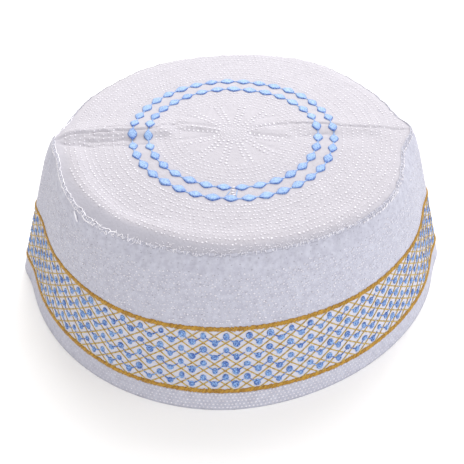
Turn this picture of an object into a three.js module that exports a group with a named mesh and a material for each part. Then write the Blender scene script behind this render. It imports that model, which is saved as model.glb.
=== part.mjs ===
// A soft prayer cap of quilted white cloth, with a gold edged band round the wall
// and two rings of satin diamonds on the flat crown. It stands on its hem.
// Millimetres, +Z up. The origin is the centre of the footprint, on the floor.
// +X and -X are the two ends of the storage fold, and -Y is the front.
import * as THREE from "three";

// Crown, measured at the seam that joins it to the wall
const ridgeHeight = 71.7;
const crownHalfWidth = 77.2;
const crownFrontDepth = 72.5;
const crownBackDepth = 72.7;
const crownLean = 4.1;
const crownPinch = 2.7;
const crownSlope = THREE.MathUtils.degToRad(2.95);
const ridgeSoftness = 3;
const ridgeEndSag = 0.9;
const crownEdgeRounding = 2.2;
const crownThickness = 1.6;

// Wall, measured at the hem
const hemHalfWidth = 96.9;
const hemDepth = 93.8;
const hemLean = 6.6;
const hemPinch = 3.7;
const wallThickness = 1.8;

// Both ends of the fold are pinched over this share of the depth
const pinchReach = 0.11;

// Gold borders of the band, as heights up the wall from the hem
const lowerBorderHeight = 8.9;
const upperBorderHeight = 37.3;
const borderWidth = 2.2;
const borderRelief = 0.7;

// Rings of satin diamonds on the crown
const outerRingRadius = 43.3;
const innerRingRadius = 36.5;
const outerRingDiamonds = 37;
const innerRingDiamonds = 31;
// First link of each ring, in degrees from the right end of the fold
const outerRingStart = 7.3;
const innerRingStart = -0.9;
const diamondWidth = 4.3;
const linkWidth = 0.9;
const diamondRelief = 0.8;
const linkRelief = 0.3;

// Pieces that touch keep this gap
const clearance = 0.3;

// Stations round the cap, crowded towards the two ends of the fold
const stations = 88;
const stationCrowding = 0.42;
const stepsPerDiamond = 4;

const clothColour = 0xe9e6ee;
const goldColour = 0xc8922a;
const blueColour = 0x86b6f2;
const clothRoughness = 0.85;
const threadRoughness = 0.5;

// Shape of each outline: how square its front and back halves are, where 2 is an ellipse
const crownPlan = {
  halfWidth: crownHalfWidth,
  frontDepth: crownFrontDepth,
  backDepth: crownBackDepth,
  lean: crownLean,
  pinch: crownPinch,
  frontFullness: 2.2,
  backFullness: 1.9,
};
const hemPlan = {
  halfWidth: hemHalfWidth,
  frontDepth: hemDepth,
  backDepth: hemDepth,
  lean: hemLean,
  pinch: hemPinch,
  frontFullness: 1.91,
  backFullness: 1.91,
};

// From the middle of the crown to its seam: share of the way out, share of the edge rounding
const crownRows = [
  { reach: 0, fall: 0 },
  { reach: 0.1, fall: 0 },
  { reach: 0.35, fall: 0 },
  { reach: 0.62, fall: 0 },
  { reach: 0.86, fall: 0 },
  { reach: 0.92, fall: 0.14 },
  { reach: 0.965, fall: 0.48 },
  { reach: 1, fall: 1 },
];

// From the seam to the hem: share of the way down, share of the way out
const wallRows = [
  { down: 0, out: 0 },
  { down: 0.05, out: 0.11 },
  { down: 0.13, out: 0.21 },
  { down: 0.3, out: 0.375 },
  { down: 0.52, out: 0.575 },
  { down: 0.76, out: 0.79 },
  { down: 1, out: 1 },
];

// How far the sewn seam strays from its even outline, as a share of the crown's half width.
// Degrees run from the right end of the fold over the back (90), left end (180) and front (270).
const seamDrift = [
  { degrees: 0, out: 0 },
  { degrees: 12, out: -0.013 },
  { degrees: 35, out: -0.021 },
  { degrees: 58, out: 0.018 },
  { degrees: 90, out: -0.012 },
  { degrees: 120, out: 0.013 },
  { degrees: 148, out: -0.016 },
  { degrees: 165, out: -0.026 },
  { degrees: 180, out: 0 },
  { degrees: 203, out: 0.016 },
  { degrees: 225, out: 0.016 },
  { degrees: 245, out: -0.01 },
  { degrees: 268, out: 0.009 },
  { degrees: 292, out: -0.01 },
  { degrees: 325, out: 0.004 },
  { degrees: 350, out: -0.031 },
  { degrees: 360, out: 0 },
];

// The drift dies out over this share of the wall's height
const driftReach = 0.13;

// Turn of a station in radians, from 0 at the right end of the fold
function stationTurn(station) {
  const even = (2 * Math.PI * station) / stations;
  return even - (stationCrowding * Math.sin(2 * even)) / 2;
}

// Point of an outline at a turn: a squared ellipse that leans left in front and right behind
function outlinePoint(plan, turn) {
  const across = Math.cos(turn);
  const along = Math.sin(turn);
  const isFront = along < 0;
  const depth = isFront ? plan.frontDepth : plan.backDepth;
  const power = 2 / (isFront ? plan.frontFullness : plan.backFullness);
  const corner = Math.exp(-((along / pinchReach) ** 2));
  const body = (plan.halfWidth - plan.pinch) * Math.abs(across) ** power;
  const x = Math.sign(across) * (body + plan.pinch * corner);
  const y = Math.sign(along) * depth * Math.abs(along) ** power;
  return new THREE.Vector2(x + plan.lean * along * Math.abs(along), y);
}

// Sideways step of the seam at a turn, in millimetres, eased between the rows of its table
function driftAt(turn) {
  const degrees = THREE.MathUtils.euclideanModulo(THREE.MathUtils.radToDeg(turn), 360);
  const next = seamDrift.findIndex((row) => row.degrees > degrees);
  const from = seamDrift[next - 1];
  const to = seamDrift[next];
  const share = THREE.MathUtils.smoothstep(degrees, from.degrees, to.degrees);
  return THREE.MathUtils.lerp(from.out, to.out, share) * crownHalfWidth;
}

// Point of the seam's outline, with a share of its drift
function seamOutline(turn, driftShare) {
  const seam = outlinePoint(crownPlan, turn);
  return seam.setLength(seam.length() + driftShare * driftAt(turn));
}

// Height of the crown without the rounding of its edge
function crownHeight(x, y) {
  const fromRidge = Math.hypot(y, ridgeSoftness) - ridgeSoftness;
  const endSag = (ridgeEndSag * Math.abs(x)) / crownHalfWidth;
  return ridgeHeight - fromRidge * Math.tan(crownSlope) - endSag;
}

function crownPoint(turn, row, driftShare = 1) {
  const seam = seamOutline(turn, driftShare);
  const x = seam.x * row.reach;
  const y = seam.y * row.reach;
  const rounding = crownEdgeRounding * Math.abs(Math.sin(turn)) * row.fall;
  return new THREE.Vector3(x, y, crownHeight(x, y) - rounding);
}

const seamRow = crownRows[crownRows.length - 1];

function wallPoint(turn, row) {
  const driftShare = Math.max(0, 1 - row.down / driftReach);
  const top = crownPoint(turn, seamRow, driftShare);
  const hem = outlinePoint(hemPlan, turn);
  const x = THREE.MathUtils.lerp(top.x, hem.x, row.out);
  const y = THREE.MathUtils.lerp(top.y, hem.y, row.out);
  return new THREE.Vector3(x, y, top.z * (1 - row.down));
}

// The outer skin as one grid: a row of stations for each table row, from the crown to the hem
const skin = [];
for (const row of crownRows) {
  skin.push(stationRow((turn) => crownPoint(turn, row)));
}
for (const row of wallRows.slice(1)) {
  skin.push(stationRow((turn) => wallPoint(turn, row)));
}
const seamIndex = crownRows.length - 1;
const hemIndex = skin.length - 1;

function stationRow(pointAt) {
  return Array.from({ length: stations }, (_, station) => pointAt(stationTurn(station)));
}

// Outward direction of the skin at one row and station
function skinNormal(index, station) {
  if (index === 0) return new THREE.Vector3(0, 0, 1);
  const here = skin[index];
  const next = here[(station + 1) % stations];
  const previous = here[(station + stations - 1) % stations];
  const above = skin[index - 1][station];
  const below = skin[Math.min(index + 1, hemIndex)][station];
  const around = next.clone().sub(previous).normalize();
  const upper = here[station].clone().sub(above).normalize();
  const lower = index < hemIndex ? below.clone().sub(here[station]).normalize() : upper;
  return upper.add(lower).cross(around).normalize();
}

// The skin moved inwards by the cloth's thickness, with the hem kept flat on the floor
function liningRow(index, thickness) {
  return skin[index].map((point, station) => {
    const moved = point.clone().addScaledVector(skinNormal(index, station), -thickness);
    if (index === hemIndex) moved.z = 0;
    return moved;
  });
}

function liningRows(first, last, thickness) {
  const rows = [];
  for (let index = first; index <= last; index += 1) {
    rows.push(liningRow(index, thickness));
  }
  return rows;
}

// Closed body from loops of points: each loop joins the next, and the last joins the first
function bodyFromLoops(loops) {
  const count = loops[0].length;
  const positions = loops.flat().flatMap((point) => [point.x, point.y, point.z]);
  const faces = [];
  loops.forEach((_, row) => {
    const start = row * count;
    const nextStart = ((row + 1) % loops.length) * count;
    for (let i = 0; i < count; i += 1) {
      const j = (i + 1) % count;
      faces.push(start + i, nextStart + i, nextStart + j);
      faces.push(start + i, nextStart + j, start + j);
    }
  });
  return geometryOf(positions, faces);
}

function geometryOf(positions, faces) {
  const geometry = new THREE.BufferGeometry();
  geometry.setAttribute("position", new THREE.Float32BufferAttribute(positions, 3));
  geometry.setIndex(faces);
  geometry.computeVertexNormals();
  return geometry;
}

// Crown: a thin shell whose first row, outside and inside, is one point at the middle
function crownGeometry() {
  const outer = skin.slice(1, seamIndex + 1);
  const inner = liningRows(1, seamIndex, crownThickness).reverse();
  const loops = [...outer, ...inner];
  const positions = loops.flat().flatMap((point) => [point.x, point.y, point.z]);
  const faces = [];
  for (let row = 0; row < loops.length - 1; row += 1) {
    for (let i = 0; i < stations; i += 1) {
      const j = (i + 1) % stations;
      const upper = row * stations;
      const lower = upper + stations;
      faces.push(upper + i, lower + i, lower + j, upper + i, lower + j, upper + j);
    }
  }
  const top = positions.length / 3;
  const underside = top + 1;
  positions.push(0, 0, ridgeHeight, 0, 0, ridgeHeight - crownThickness);
  const lastLoop = (loops.length - 1) * stations;
  for (let i = 0; i < stations; i += 1) {
    const j = (i + 1) % stations;
    faces.push(top, i, j, underside, lastLoop + j, lastLoop + i);
  }
  return geometryOf(positions, faces);
}

// Lowers a row along the wall until it clears the row above by the seam's gap
function openSeam(top, next) {
  return top.map((point, station) => {
    const way = next[station].clone().sub(point);
    return point.clone().addScaledVector(way.normalize(), clearance);
  });
}

function wallGeometry() {
  const outer = skin.slice(seamIndex);
  const inner = liningRows(seamIndex, hemIndex, wallThickness);
  outer[0] = openSeam(outer[0], outer[1]);
  inner[0] = openSeam(inner[0], inner[1]);
  return bodyFromLoops([...outer, ...inner.reverse()]);
}

// Point on the outside of the wall at a height up from the hem, along the cloth
function pointUpWall(station, height) {
  let left = height;
  for (let index = hemIndex; index > seamIndex; index -= 1) {
    const low = skin[index][station];
    const high = skin[index - 1][station];
    const length = low.distanceTo(high);
    if (left <= length) {
      const share = left / length;
      const normal = skinNormal(index, station).lerp(skinNormal(index - 1, station), share);
      return { point: low.clone().lerp(high, share), normal: normal.normalize() };
    }
    left -= length;
  }
  throw new Error("The height is above the wall");
}

// Border: share of its width from its middle, share of its relief
const borderSection = [
  { across: 0.5, rise: 0 },
  { across: 0.3, rise: 1 },
  { across: -0.3, rise: 1 },
  { across: -0.5, rise: 0 },
];

function borderGeometry(middleHeight) {
  const loops = borderSection.map(({ across, rise }) => {
    const height = middleHeight + across * borderWidth;
    return Array.from({ length: stations }, (_, station) => {
      const { point, normal } = pointUpWall(station, height);
      return point.addScaledVector(normal, clearance + rise * borderRelief);
    });
  });
  return bodyFromLoops(loops);
}

// Ring of satin diamonds: a strip that swells at each diamond and narrows to a link between two
function diamondRingGeometry(radius, diamonds, firstLink) {
  const steps = diamonds * stepsPerDiamond;
  const start = THREE.MathUtils.degToRad(firstLink);
  const loops = [[], [], []];
  for (let step = 0; step < steps; step += 1) {
    const turn = start + (2 * Math.PI * step) / steps;
    const phase = (step % stepsPerDiamond) / stepsPerDiamond;
    const swell = 1 - Math.abs(2 * phase - 1);
    const half = THREE.MathUtils.lerp(linkWidth, diamondWidth, swell) / 2;
    const relief = THREE.MathUtils.lerp(linkRelief, diamondRelief, swell);
    loops[0].push(ringPoint(turn, radius - half, clearance));
    loops[1].push(ringPoint(turn, radius, clearance + relief));
    loops[2].push(ringPoint(turn, radius + half, clearance));
  }
  return bodyFromLoops(loops);
}

function ringPoint(turn, radius, lift) {
  const x = radius * Math.cos(turn);
  const y = radius * Math.sin(turn);
  return new THREE.Vector3(x, y, crownHeight(x, y) + lift);
}

function namedMesh(name, geometry, colour, roughness) {
  const material = new THREE.MeshStandardMaterial({ color: colour, roughness, metalness: 0 });
  const mesh = new THREE.Mesh(geometry, material);
  mesh.name = name;
  return mesh;
}

const cap = new THREE.Group();
cap.name = "prayer_cap";
const upperBorder = borderGeometry(upperBorderHeight);
const lowerBorder = borderGeometry(lowerBorderHeight);
const outerRing = diamondRingGeometry(outerRingRadius, outerRingDiamonds, outerRingStart);
const innerRing = diamondRingGeometry(innerRingRadius, innerRingDiamonds, innerRingStart);
cap.add(namedMesh("crown", crownGeometry(), clothColour, clothRoughness));
cap.add(namedMesh("side_wall", wallGeometry(), clothColour, clothRoughness));
cap.add(namedMesh("upper_border", upperBorder, goldColour, threadRoughness));
cap.add(namedMesh("lower_border", lowerBorder, goldColour, threadRoughness));
cap.add(namedMesh("outer_diamond_ring", outerRing, blueColour, threadRoughness));
cap.add(namedMesh("inner_diamond_ring", innerRing, blueColour, threadRoughness));

export default cap;
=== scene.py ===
# Dresses the prayer cap: quilted white cotton with gold and blue embroidery,
# standing on its hem on a pale studio floor.
import math

import bpy
import numpy as np
from mathutils import Euler, Matrix, Vector


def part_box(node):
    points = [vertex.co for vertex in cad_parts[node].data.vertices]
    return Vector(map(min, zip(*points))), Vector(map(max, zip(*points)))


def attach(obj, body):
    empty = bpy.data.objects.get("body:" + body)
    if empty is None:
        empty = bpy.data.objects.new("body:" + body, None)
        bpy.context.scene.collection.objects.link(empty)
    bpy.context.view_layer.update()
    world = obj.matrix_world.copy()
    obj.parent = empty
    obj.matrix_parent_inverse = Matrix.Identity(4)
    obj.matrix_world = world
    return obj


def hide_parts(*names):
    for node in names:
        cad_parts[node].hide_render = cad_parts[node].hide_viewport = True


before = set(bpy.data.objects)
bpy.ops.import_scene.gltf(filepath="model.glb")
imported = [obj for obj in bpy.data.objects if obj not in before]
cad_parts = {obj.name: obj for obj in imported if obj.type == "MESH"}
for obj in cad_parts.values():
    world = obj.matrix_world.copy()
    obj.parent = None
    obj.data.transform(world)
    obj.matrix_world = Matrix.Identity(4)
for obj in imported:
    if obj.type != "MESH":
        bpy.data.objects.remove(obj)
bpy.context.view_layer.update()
mm = 0.001
fullTurn = 2 * math.pi
dice = np.random.default_rng(7)  # every random draw comes from here, so each run is the same

# The cap's form in millimetres, as the solids have it
crownLow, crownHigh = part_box("crown")
wallLow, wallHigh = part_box("side_wall")
form = {
    "ridgeHeight": crownHigh.z / mm,
    "crownHalfWidth": (crownHigh.x - crownLow.x) / 2 / mm,
    "crownSlope": math.radians(2.95),
    "ridgeSoftness": 3.0,
    "ridgeEndSag": 0.9,
    "edgeRounding": 2.2,
    "edgeStart": 0.92,  # share of the crown's radius where its edge starts to round over
    "edgeCurve": 2.3,
    "pinchReach": 0.11,
    "shoulderShare": 0.11,  # how much of the flare lies in the wall's first few millimetres
    "shoulderReach": 0.06,
    "driftReach": 0.13,
    "puff": 1.25,  # how far the crown swells inside its edge at the front left
    "puffAngle": 226,
    "puffSpread": 50,
    "wobble": 0.18,  # how far the puckered seam strays sideways
    "sway": 0.16,  # and up and down
}
crownPlan = {
    "half": form["crownHalfWidth"], "front": 72.5, "back": 73.5, "lean": 4.1, "pinch": 2.7,
    "frontFullness": 2.2, "backFullness": 1.9,
}
hemPlan = {
    "half": (wallHigh.x - wallLow.x) / 2 / mm, "front": (wallHigh.y - wallLow.y) / 2 / mm,
    "back": (wallHigh.y - wallLow.y) / 2 / mm, "lean": 6.6, "pinch": 3.7,
    "frontFullness": 1.91, "backFullness": 1.91,
}
# How far the sewn seam strays, by degrees round the cap, as a share of the crown's half width
seamDrift = {
    "degrees": [0, 12, 35, 58, 90, 120, 148, 165, 180, 203, 225, 245, 268, 292, 325, 350, 360],
    "out": [0, -0.013, -0.012, 0.018, -0.012, 0.013, -0.006, -0.017, 0,
            0.016, 0.016, -0.01, 0.009, -0.01, 0.004, -0.031, 0],
}


def smoothStep(value):
    value = np.clip(value, 0, 1)
    return value * value * (3 - 2 * value)


def unit(vectors):
    return vectors / np.maximum(np.linalg.norm(vectors, axis=-1, keepdims=True), 1e-12)


def dot(first, second):
    return (first * second).sum(-1, keepdims=True)


def ringWaves(turn, counts, seed):
    # small waves that close on themselves after one turn
    waves = np.random.default_rng(seed)
    return sum(np.sin(n * turn + waves.uniform(0, 6.28)) for n in counts) / math.sqrt(len(counts))


def softWaves(position, lengths, seed):
    waves = np.random.default_rng(seed)
    rise = sum(np.sin(fullTurn * position / n + waves.uniform(0, 6.28)) for n in lengths)
    return rise / len(lengths)


def outline(plan, turn):
    across, along = np.cos(turn), np.sin(turn)
    inFront = along < 0
    depth = np.where(inFront, plan["front"], plan["back"])
    power = 2 / np.where(inFront, plan["frontFullness"], plan["backFullness"])
    corner = np.exp(-((along / form["pinchReach"]) ** 2))
    body = (plan["half"] - plan["pinch"]) * abs(across) ** power
    x = np.sign(across) * (body + plan["pinch"] * corner) + plan["lean"] * along * abs(along)
    return x, np.sign(along) * depth * abs(along) ** power


def drift(turn):
    degrees = np.degrees(turn) % 360
    rows = np.array(seamDrift["degrees"])
    out = np.array(seamDrift["out"])
    after = np.clip(np.searchsorted(rows, degrees, side="right"), 1, len(rows) - 1)
    share = smoothStep((degrees - rows[after - 1]) / (rows[after] - rows[after - 1]))
    bent = (out[after - 1] + (out[after] - out[after - 1]) * share) * form["crownHalfWidth"]
    return bent + form["wobble"] * ringWaves(turn, (43, 61, 78, 52, 97), 3)


def seamLine(turn, driftShare=1.0):
    x, y = outline(crownPlan, turn)
    stretch = 1 + driftShare * drift(turn) / np.hypot(x, y)
    return x * stretch, y * stretch


def flatCrown(x, y):
    fromRidge = np.hypot(y, form["ridgeSoftness"]) - form["ridgeSoftness"]
    sag = form["ridgeEndSag"] * abs(x) / form["crownHalfWidth"]
    return form["ridgeHeight"] - fromRidge * math.tan(form["crownSlope"]) - sag


def seamDrop(turn):
    return form["edgeRounding"] * abs(np.sin(turn)) + form["sway"] * ringWaves(turn, (9, 17, 29, 47), 5)


seamTurns = np.linspace(0, fullTurn, 2881)[:-1]
seamX, seamY = seamLine(seamTurns)
seamAngle = np.unwrap(np.arctan2(seamY, seamX))
seamRadius = np.hypot(seamX, seamY)


def alongSeam(values, angle):
    return np.interp(angle, seamAngle, values, period=fullTurn)


# Folds of the crown, in millimetres: where each starts and ends, its width, its height, which is
# a groove or a puff, and its step, which lifts the cloth behind the line over that in front
crownFolds = [
    # left: the storage fold's sharp back edge, the slope in front of it, and its soft front edge
    ((-77.5, -0.4), (-68, 3.3), 0.7, -0.9, 0.6),
    ((-68, 3.3), (-52, 3.9), 0.6, -1.0, 0.6),
    ((-52, 3.9), (-36.6, 4.6), 0.6, -0.8, 0.5),
    ((-36.6, 4.6), (-24, 8.2), 0.6, -0.5, 0.3),
    ((-62, 6.6), (-40, 7.0), 0.5, -0.35, 0.1),
    ((-66, 1.5), (-50, 1.3), 0.6, -0.4, 0.2),
    ((-73, 0.0), (-27, 1.6), 2.2, 0, 2.6),
    ((-75, -2.2), (-60, -4.2), 0.9, -0.55, 0.2),
    ((-60, -4.2), (-34, -4.6), 0.9, -0.35, 0.2),
    ((-64, -1.0), (-44, -1.2), 0.7, -0.45, 0.1),
    # the smooth middle: shallow creases that run out from the rosette
    ((-24, 9.2), (-4.6, 3.7), 1.1, -0.35, 0.5),
    ((-24, 4.7), (-6, 0.9), 1.3, -0.3, 0.8),
    ((-20, 6.6), (-7, 2.6), 1.6, 0.4, 0),
    ((-24, -3.3), (-5, -0.5), 1.2, -0.3, 0.2),
    ((7, 3.2), (25.2, 6.3), 1.1, -0.35, 0.7),
    ((6.5, -0.8), (25, -4.5), 1.3, -0.4, 0.6),
    ((9, 1.3), (23, 1.6), 1.8, 0.4, 0),
    # right: one line, and a long slope in front of it
    ((25.2, 6.3), (42.4, 3.8), 0.6, -0.5, 0.4),
    ((42.4, 3.8), (59.3, 0.9), 0.6, -0.5, 0.4),
    ((59.3, 0.9), (77, -0.9), 0.6, -0.45, 0.4),
    ((26, 1.4), (64, -2.6), 3.4, 0, 1.7),
    ((27, -3.4), (45, -1.6), 1.0, -0.35, 0.1),
    ((-14, 12), (-23, 15.5), 1.2, -0.25, 0),
    ((9, 9), (20, 12.5), 1.2, -0.25, 0),
    ((10, -8), (19, -13), 1.3, -0.25, 0),
    ((-9, -9), (-18, -15), 1.3, -0.25, 0),
]
stepReach = 9.0
foldWiggles = [(0.3, 2.7), (0.2, 1.4)]  # how far a fold strays aside, and over what run


def foldHeight(x, y):
    total = np.zeros(np.broadcast(x, y).shape)
    for start, end, width, height, step in crownFolds:
        start, end = sorted((start, end))  # from left to right
        runX, runY = end[0] - start[0], end[1] - start[1]
        length = math.hypot(runX, runY)
        along = ((x - start[0]) * runX + (y - start[1]) * runY) / length
        aside = ((y - start[1]) * runX - (x - start[0]) * runY) / length
        for (stray, run), shift in zip(foldWiggles, start):
            aside = aside + stray * np.sin(along / run + shift)
        ease = 2 + 2.5 * width
        inside = smoothStep(along / ease + 0.5) * smoothStep((length - along) / ease + 0.5)
        rise = step / 2 * np.tanh(aside / width) * np.exp(-((aside / stepReach) ** 2))
        total += inside * (height * np.exp(-((aside / width) ** 2)) + rise)
    return total


# Height of the dressed crown at any point
def crownSurface(x, y):
    angle = np.arctan2(y, x)
    reach = np.hypot(x, y) / alongSeam(seamRadius, angle)
    past = np.clip((reach - form["edgeStart"]) / (1 - form["edgeStart"]), 0, 1.1)
    rounding = alongSeam(seamDrop(seamTurns), angle) * past ** form["edgeCurve"]
    calm = 1 - smoothStep((reach - 0.9) * 10)
    waves = 0.12 * softWaves(x + 0.4 * y, (17, 29, 41), 1) + 0.12 * softWaves(y - 0.3 * x, (13, 23, 37), 2)
    folds = foldHeight(x, y) * (1 - 0.6 * smoothStep((reach - 0.93) * 14))
    fromPuff = (np.degrees(angle) % 360 - form["puffAngle"]) / form["puffSpread"]
    puff = form["puff"] * np.exp(-(fromPuff ** 2)) * np.exp(-(((reach - 0.9) / 0.05) ** 2))
    return flatCrown(x, y) - rounding + puff + folds + calm * waves


# Places on the crown: the point, and a frame of along, side and up
def crownFrames(x, y, heading, step=0.3):
    right, left = crownSurface(x + step, y), crownSurface(x - step, y)
    behind, ahead = crownSurface(x, y + step), crownSurface(x, y - step)
    slopeX, slopeY = (right - left) / (2 * step), (behind - ahead) / (2 * step)
    z = crownSurface(x, y) if step < 1 else (right + left + behind + ahead) / 4
    up = unit(np.stack([-slopeX, -slopeY, np.ones_like(z)], -1))
    along = np.stack([np.cos(heading), np.sin(heading), np.zeros_like(z)], -1)
    along = unit(along - up * dot(along, up))
    return np.stack([x, y, z], -1), along, np.cross(up, along), up


def onCircle(radius, angle):
    return radius * np.cos(angle), radius * np.sin(angle)


# Wall grid: rows from the hem up to the seam, columns evenly spaced round the middle of the band
wall = {
    "columns": 620,
    "rows": 64,
    "innerRows": 14,
    "thickness": 1.8,
    "puckers": 0.22,
    "sway": 0.2,
    # the band's cloth is painted lighter: painted light against the shade of its embroidery
    "band": (9.5, 36.8),  # millimetres up from the hem, held smooth by the embroidery
    "bandMiddle": 0.68,  # share of the way down
    "seamGap": 0.25,  # keeps clear of the crown, as a share of the top row
}


def wallPoint(turn, down):
    topX, topY = seamLine(turn, np.clip(1 - down / form["driftReach"], 0, 1) ** 1.2)
    topZ = flatCrown(topX, topY) - seamDrop(turn)
    hemX, hemY = outline(hemPlan, turn)
    settle = 1 - math.exp(-1 / form["shoulderReach"])
    shoulder = (1 - np.exp(-down / form["shoulderReach"])) / settle
    out = (1 - form["shoulderShare"]) * down + form["shoulderShare"] * shoulder
    return np.stack([topX + (hemX - topX) * out, topY + (hemY - topY) * out, topZ * (1 - down)], -1)


def evenTurns(count, down):
    fine = np.linspace(0, fullTurn, 7201)
    line = wallPoint(fine, np.full_like(fine, down))
    run = np.concatenate([[0], np.cumsum(np.linalg.norm(np.diff(line, axis=0), axis=1))])
    return np.interp(np.arange(count) / count * run[-1], run, fine), run[-1]


def gridNormals(grid):
    around = np.roll(grid, -1, axis=1) - np.roll(grid, 1, axis=1)
    return unit(np.cross(around, np.gradient(grid, axis=0)))


def makeWallGrid():
    turns, girth = evenTurns(wall["columns"], wall["bandMiddle"])
    downs = np.linspace(0, 1, 241)
    lines = wallPoint(turns[None, :], downs[:, None])
    steps = np.linalg.norm(np.diff(lines, axis=0), axis=2)
    run = np.concatenate([np.zeros((1, len(turns))), np.cumsum(steps, axis=0)])
    rows = np.linspace(0, 1, wall["rows"])
    grid = np.zeros((wall["rows"], len(turns), 3))
    for column in range(len(turns)):
        for axis in range(3):
            wanted = (1 - rows) * run[-1, column]
            grid[:, column, axis] = np.interp(wanted, run[:, column], lines[:, column, axis])
    slant = run[-1]
    around = np.arange(len(turns)) / len(turns) * fullTurn
    fromSeam = (1 - rows)[:, None] * slant[None, :]
    fromHem = rows[:, None] * slant[None, :]
    puckers = ringWaves(around, (61, 78, 52, 97, 43), 3) * smoothStep(fromSeam / 2) * np.exp(-fromSeam / 8)
    sway = ringWaves(around, (5, 7, 11), 4) * smoothStep(fromSeam / 12) * smoothStep(fromHem / 12)
    lift = wall["puckers"] * puckers + wall["sway"] * sway
    grid = grid + gridNormals(grid) * lift[..., None]
    return grid, gridNormals(grid), slant, girth


wallGrid, wallNormal, wallSlant, wallGirth = makeWallGrid()


def sampleGrid(grid, column, row):
    left = np.floor(column).astype(int)
    low = np.clip(np.floor(row).astype(int), 0, grid.shape[0] - 2)
    fx, fy = (column - left)[..., None], (row - low)[..., None]
    left, right = left % grid.shape[1], (left + 1) % grid.shape[1]
    bottom = grid[low, left] * (1 - fx) + grid[low, right] * fx
    top = grid[low + 1, left] * (1 - fx) + grid[low + 1, right] * fx
    return bottom * (1 - fy) + top * fy


def slantAt(share):
    columns = wall["columns"]
    return np.interp(share % 1 * columns, np.arange(columns), wallSlant, period=columns)


# Places on the outside of the wall: share of the way round, and millimetres up from the hem
def wallFrames(share, height):
    share, height = np.broadcast_arrays(np.asarray(share, float), np.asarray(height, float))
    column = (share % 1) * wall["columns"]
    row = height / slantAt(share) * (wall["rows"] - 1)
    point = sampleGrid(wallGrid, column, row)
    up = unit(sampleGrid(wallNormal, column, row))
    along = unit(sampleGrid(wallGrid, column + 1, row) - sampleGrid(wallGrid, column - 1, row))
    return point, along, np.cross(up, along), up


# Places near the seam: a positive reach goes down the wall, a negative one in over the crown
def seamFrames(share, reach):
    share, reach = np.broadcast_arrays(np.asarray(share, float), np.asarray(reach, float))
    slant = slantAt(share)
    onWall, _, _, wallUp = wallFrames(share, slant - np.maximum(reach, 0))
    top = wallFrames(share, slant)[0]
    inward = 1 - np.maximum(-reach, 0) / np.hypot(top[..., 0], top[..., 1])
    x, y = top[..., 0] * inward, top[..., 1] * inward
    onCrown, _, _, crownUp = crownFrames(x, y, np.zeros_like(x))
    fromCrown = (smoothStep(0.5 - reach / 1.2))[..., None]
    isCrown = (reach < 0)[..., None]
    up = unit(crownUp * fromCrown + wallUp * (1 - fromCrown))
    return np.where(isCrown, onCrown, onWall), up


# Mesh helpers
def closedQuads(rows, columns):
    row, column = np.meshgrid(np.arange(rows - 1), np.arange(columns), indexing="ij")
    here = row * columns + column
    beside = row * columns + (column + 1) % columns
    return np.stack([here, beside, beside + columns, here + columns], -1).reshape(-1, 4)


def trianglesOf(quads):
    return np.concatenate([quads[:, [0, 1, 2]], quads[:, [0, 2, 3]]])


# Points are in millimetres; shade is painted light and shade, 0 for the darkest thread and 1 for the
# lightest; on cloth it mixes in the painted tone
def buildPiece(name, points, faces, material, shade=None):
    mesh = bpy.data.meshes.new(name)
    points = np.asarray(points).reshape(-1, 3) * mm
    mesh.from_pydata(points.tolist(), [], faces.tolist(), shade_flat=False)
    mesh.update(calc_edges=True)
    if shade is not None:
        layer = mesh.attributes.new("shade", "FLOAT", "POINT")
        layer.data.foreach_set("value", np.clip(shade, 0, 1).astype(np.float32).ravel())
    piece = bpy.data.objects.new(name, mesh)
    bpy.context.collection.objects.link(piece)
    mesh.materials.append(material)
    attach(piece, "root")
    return piece


# One joined mesh of many copies; each frame holds the copy's along, side and up
def copiesOf(name, master, centres, frames, material, shade=None):
    shape, faces = master
    points = centres[:, None, :] + np.einsum("vk,nkc->nvc", shape, frames)
    shifts = (np.arange(len(centres)) * len(shape))[:, None, None]
    return buildPiece(name, points, (faces[None] + shifts).reshape(-1, 3), material, shade)


# The same at places on the crown or wall, each with its size and its lift off the cloth
def copiesAt(name, master, places, size, lift, material, shade=None):
    centre, along, side, up = places
    frames = np.stack([along, side, up], 1) * size[:, None, None]
    print(name + ":", len(centre))
    return copiesOf(name, master, centre + up * lift[:, None], frames, material, shade)


# A tube that closes on itself: rows are the lines round the cap, one for each point of its section
def buildLoop(name, rows, material, shade=None):
    count, columns = rows.shape[:2]
    quads = closedQuads(count + 1, columns) % (count * columns)
    piece = buildPiece(name, rows, quads, material, shade)
    weld(piece)
    return piece


# Threads along many paths of as many points each, with closed ends
def sweptTubes(name, paths, ups, radius, sides, material, flat=1.0, shade=None):
    paths = np.asarray(paths)
    along = unit(np.gradient(paths, axis=1))
    side = unit(np.cross(ups, along))
    up = np.cross(along, side)
    turn = (np.arange(sides) + 0.5) / sides * fullTurn
    thick = np.broadcast_to(radius, paths.shape[:2]).copy()
    thick[:, [0, -1]] *= 0.35
    ring = np.cos(turn)[:, None] * side[:, :, None, :] + flat * np.sin(turn)[:, None] * up[:, :, None, :]
    points = paths[:, :, None, :] + ring * thick[:, :, None, None]
    steps = paths.shape[1]
    end = (steps - 1) * sides
    caps = [[0, k + 1, k] for k in range(1, sides - 1)]
    caps += [[end, end + k, end + k + 1] for k in range(1, sides - 1)]
    one = np.concatenate([trianglesOf(closedQuads(steps, sides)), caps])
    shifts = (np.arange(len(paths)) * steps * sides)[:, None, None]
    if shade is not None:
        shade = np.broadcast_to(np.asarray(shade)[..., None], points.shape[:3])
    return buildPiece(name, points, (one[None] + shifts).reshape(-1, 3), material, shade)


def startFresh():
    if bpy.context.object and bpy.context.object.mode != "OBJECT":
        bpy.ops.object.mode_set(mode="OBJECT")
    bpy.ops.object.select_all(action="DESELECT")


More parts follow.
